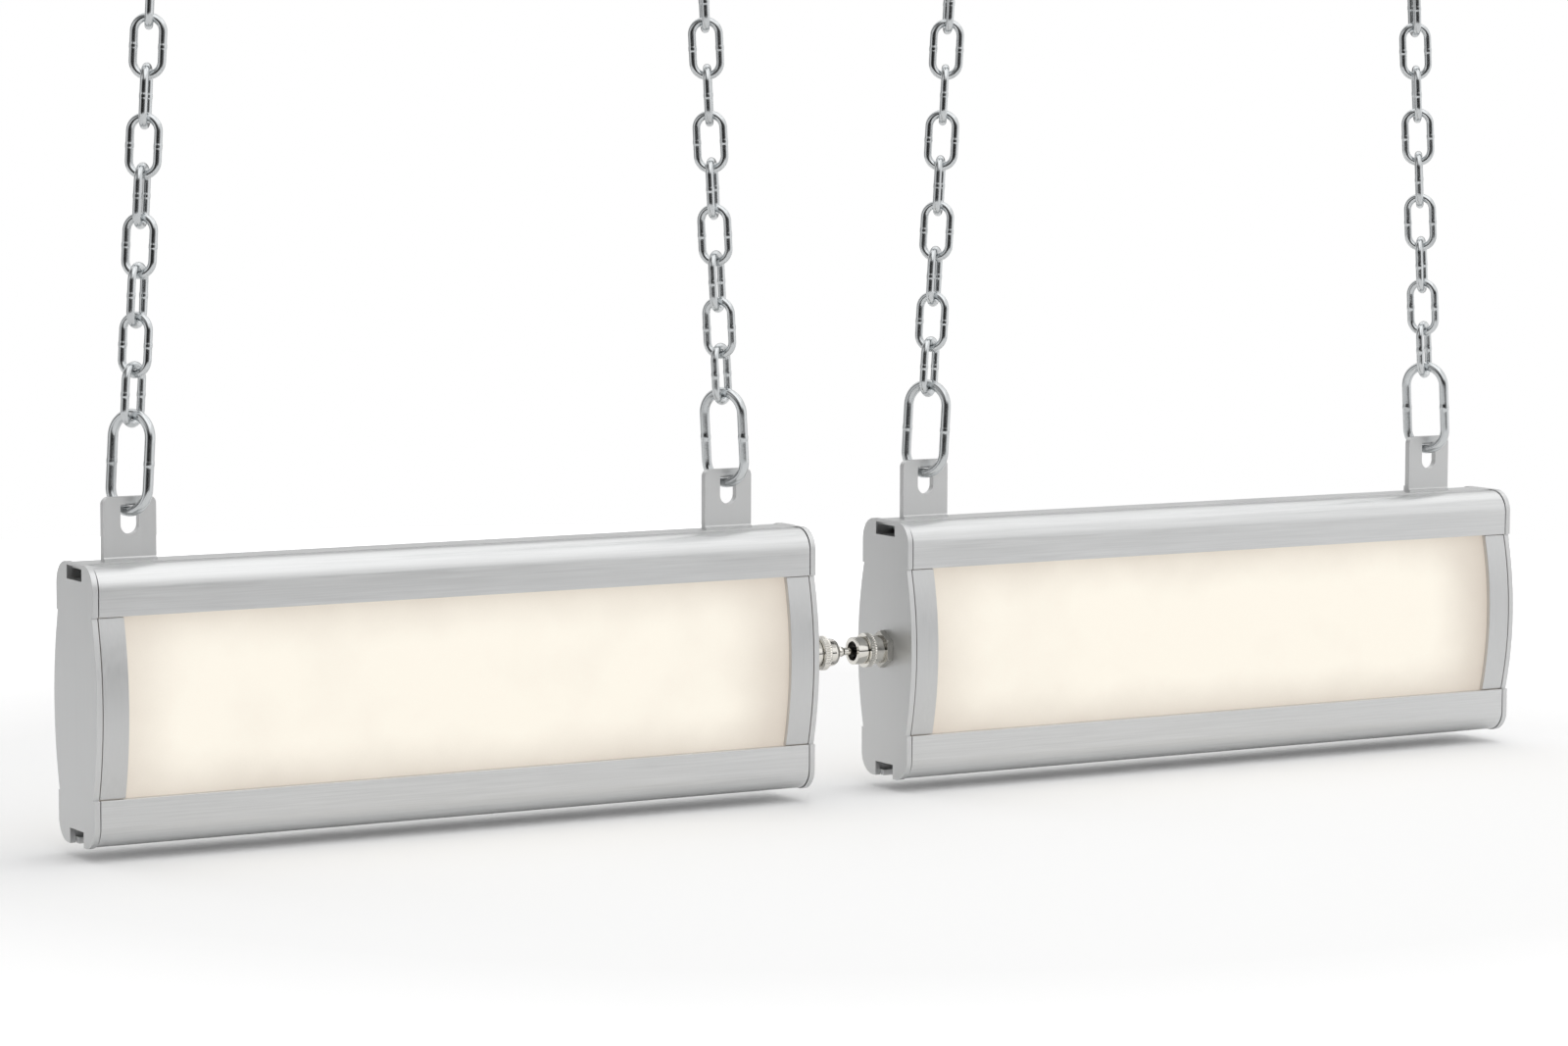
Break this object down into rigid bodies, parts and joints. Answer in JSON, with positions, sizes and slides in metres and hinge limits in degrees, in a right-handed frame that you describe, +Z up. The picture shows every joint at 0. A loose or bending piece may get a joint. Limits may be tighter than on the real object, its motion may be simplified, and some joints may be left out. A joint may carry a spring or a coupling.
{
  "type": "hanging shop light",
  "caption": "Twin hanging LED shop light: slim double-faced aluminium modules with bowed frosted windows, hung from ceiling hooks by welded chains and joined by a round plug.",
  "frame": {"origin": "on the ceiling, at the centre of the rectangle of the four screw holes in the two outer ceiling plates", "axes": "+X along the line of modules towards the supply inlet, -Y out of the front window, +Z up"},
  "size_m": [0.9515, 0.0596, 0.51],
  "materials": {
    "brushed_aluminium": "horizontally brushed, satin anodised",
    "anodised_channel": "satin anodised",
    "satin_plate": "fine satin, clear anodised",
    "satin_bezel": "fine satin, clear anodised",
    "satin_bracket": "fine satin, clear anodised",
    "mill_aluminium": "plain mill finish",
    "frosted_diffuser": "frosted opal, lit warm white from behind",
    "white_board": "white solder mask",
    "phosphor": "yellow phosphor",
    "white_housing": "moulded, fine grain",
    "black_rubber": "closed-cell foam",
    "zinc_steel": "bright zinc plate",
    "zinc_chain": "bright zinc plate, polished by tumbling",
    "wire_insulation": "smooth insulation",
    "nickel": "nickel plate, turned",
    "black_insulator": "moulded insulator with contact pins"
  },
  "bodies": {
    "ceiling": {"ceiling_plates": "zinc_steel", "ceiling_hooks": "zinc_steel"},
    "top_links": {"top_links": "zinc_chain"},
    "chain_1": {"chain_run_1": "zinc_chain"},
    "chain_2": {"chain_run_2": "zinc_chain"},
    "chain_3": {"chain_run_3": "zinc_chain"},
    "chain_4": {"chain_run_4": "zinc_chain"},
    "left_large_links": {"left_large_links": "zinc_chain"},
    "right_large_links": {"right_large_links": "zinc_chain"},
    "left_module": {"left_top_channel": "anodised_channel", "left_bottom_channel": "anodised_channel", "left_front_top_rail": "brushed_aluminium", "left_front_bottom_rail": "brushed_aluminium", "left_rear_top_rail": "brushed_aluminium", "left_rear_bottom_rail": "brushed_aluminium", "left_outer_end_plate": "satin_plate", "left_inner_end_plate": "satin_plate", "left_front_diffuser": "frosted_diffuser", "left_rear_diffuser": "frosted_diffuser", "left_window_bezels": "satin_bezel", "left_web_plate": "mill_aluminium", "left_light_boards": "white_board", "left_emitters": "phosphor", "left_driver": "white_housing", "left_diffuser_seals": "black_rubber", "left_end_plate_pins": "zinc_steel", "left_hanger_brackets": "satin_bracket", "left_bracket_screws": "zinc_steel", "left_nut_bars": "zinc_steel", "left_wiring": "wire_insulation", "plug_nut": "nickel", "plug_body": "nickel", "plug_ball_pin": "nickel"},
    "right_module": {"right_top_channel": "anodised_channel", "right_bottom_channel": "anodised_channel", "right_front_top_rail": "brushed_aluminium", "right_front_bottom_rail": "brushed_aluminium", "right_rear_top_rail": "brushed_aluminium", "right_rear_bottom_rail": "brushed_aluminium", "right_outer_end_plate": "satin_plate", "right_inner_end_plate": "satin_plate", "right_front_diffuser": "frosted_diffuser", "right_rear_diffuser": "frosted_diffuser", "right_window_bezels": "satin_bezel", "right_web_plate": "mill_aluminium", "right_light_boards": "white_board", "right_emitters": "phosphor", "right_driver": "white_housing", "right_diffuser_seals": "black_rubber", "right_end_plate_pins": "zinc_steel", "right_hanger_brackets": "satin_bracket", "right_bracket_screws": "zinc_steel", "right_nut_bars": "zinc_steel", "right_wiring": "wire_insulation", "socket_nut": "nickel", "socket_body": "nickel", "socket_contacts": "black_insulator", "supply_inlet": "nickel"},
    "plug_ring": {"plug_coupling_ring": "nickel"},
    "socket_ring": {"socket_coupling_ring": "nickel"}
  },
  "joints": [
    {"name": "swing", "type": "hinge", "parent": "ceiling", "child": "top_links", "pos_m": [0, 0, -0.02205], "axis": [1, 0, 0], "range_deg": [-20, 20]},
    {"name": "sway", "type": "hinge", "parent": "top_links", "child": "chain_1", "pos_m": [-0.41427, 0, -0.04816], "axis": [0, 1, 0], "range_deg": [-4, 4]},
    {"name": "chain_2_sway", "type": "hinge", "parent": "top_links", "child": "chain_2", "pos_m": [-0.08323, 0, -0.04816], "axis": [0, 1, 0], "range_deg": [-4.2, 4.2]},
    {"name": "chain_3_sway", "type": "hinge", "parent": "top_links", "child": "chain_3", "pos_m": [0.08023, 0, -0.04816], "axis": [0, 1, 0], "range_deg": [-4.2, 4.2]},
    {"name": "chain_4_sway", "type": "hinge", "parent": "top_links", "child": "chain_4", "pos_m": [0.41427, 0, -0.04816], "axis": [0, 1, 0], "range_deg": [-4.2, 4.2]},
    {"name": "left_level", "type": "hinge", "parent": "chain_1", "child": "left_large_links", "pos_m": [-0.42738, 0, -0.28259], "axis": [0, 1, 0], "range_deg": [-4.2, 4.2]},
    {"name": "right_level", "type": "hinge", "parent": "chain_3", "child": "right_large_links", "pos_m": [0.06713, 0, -0.28259], "axis": [0, 1, 0], "range_deg": [-4.2, 4.2]},
    {"name": "tilt", "type": "hinge", "parent": "left_large_links", "child": "left_module", "pos_m": [-0.43025, 0, -0.32901], "axis": [1, 0, 0], "range_deg": [-15, 15]},
    {"name": "right_tilt", "type": "hinge", "parent": "right_large_links", "child": "right_module", "pos_m": [0.06425, 0, -0.32901], "axis": [1, 0, 0], "range_deg": [-15.5, 15.5]},
    {"name": "plug_ring_turn", "type": "hinge", "parent": "left_module", "child": "plug_ring", "pos_m": [-0.00475, 0, -0.43501], "axis": [1, 0, 0], "continuous": true},
    {"name": "socket_ring_turn", "type": "hinge", "parent": "right_module", "child": "socket_ring", "pos_m": [0.02555, 0, -0.43501], "axis": [1, 0, 0], "continuous": true}
  ],
  "couplings": [
    {"joint": "chain_2_sway", "follows": "sway", "ratio": 1},
    {"joint": "chain_3_sway", "follows": "sway", "ratio": 1},
    {"joint": "chain_4_sway", "follows": "sway", "ratio": 1},
    {"joint": "left_level", "follows": "sway", "ratio": -0.92662},
    {"joint": "right_level", "follows": "sway", "ratio": -0.92723},
    {"joint": "right_tilt", "follows": "tilt", "ratio": 1}
  ]
}
